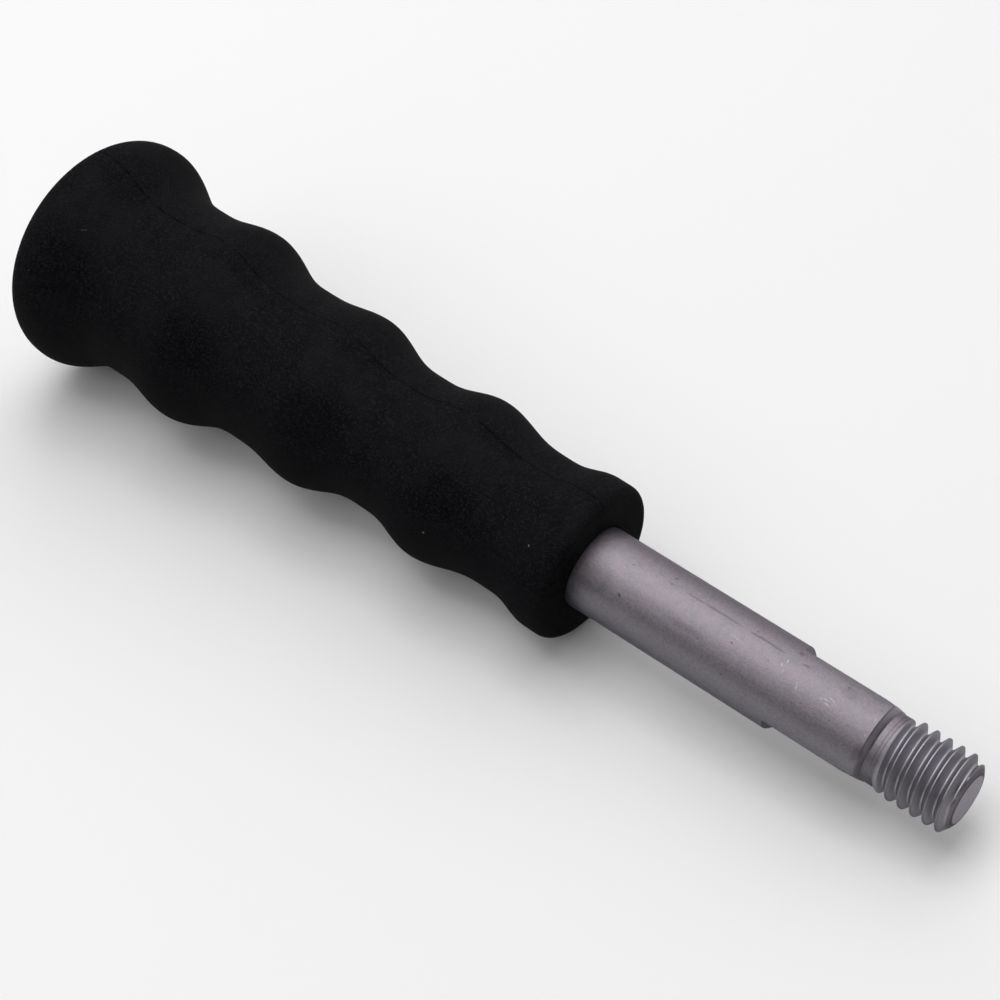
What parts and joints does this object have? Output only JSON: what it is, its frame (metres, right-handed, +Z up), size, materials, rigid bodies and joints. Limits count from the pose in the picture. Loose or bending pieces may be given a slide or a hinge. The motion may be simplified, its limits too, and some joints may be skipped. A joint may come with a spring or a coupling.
{
  "type": "handle rod with grip",
  "caption": "Straight steel handle rod with a threaded end, spanner flats and a flared black rubber grip with finger hollows.",
  "frame": {"origin": "on the rod's axis, at the inner end of the full thread, where it meets the neck", "axes": "+X along the rod and out of the threaded end, +Z up with the handle lying on its side"},
  "size_m": [0.1813, 0.0415, 0.0415],
  "materials": {
    "rod_steel": "dull grey plating on turned steel, satin, with fine pits and light scratches",
    "grip_rubber": "moulded black rubber with a fine leather grain and a mould parting line"
  },
  "bodies": {
    "root": {"rod": "rod_steel", "grip": "grip_rubber"}
  },
  "joints": []
}
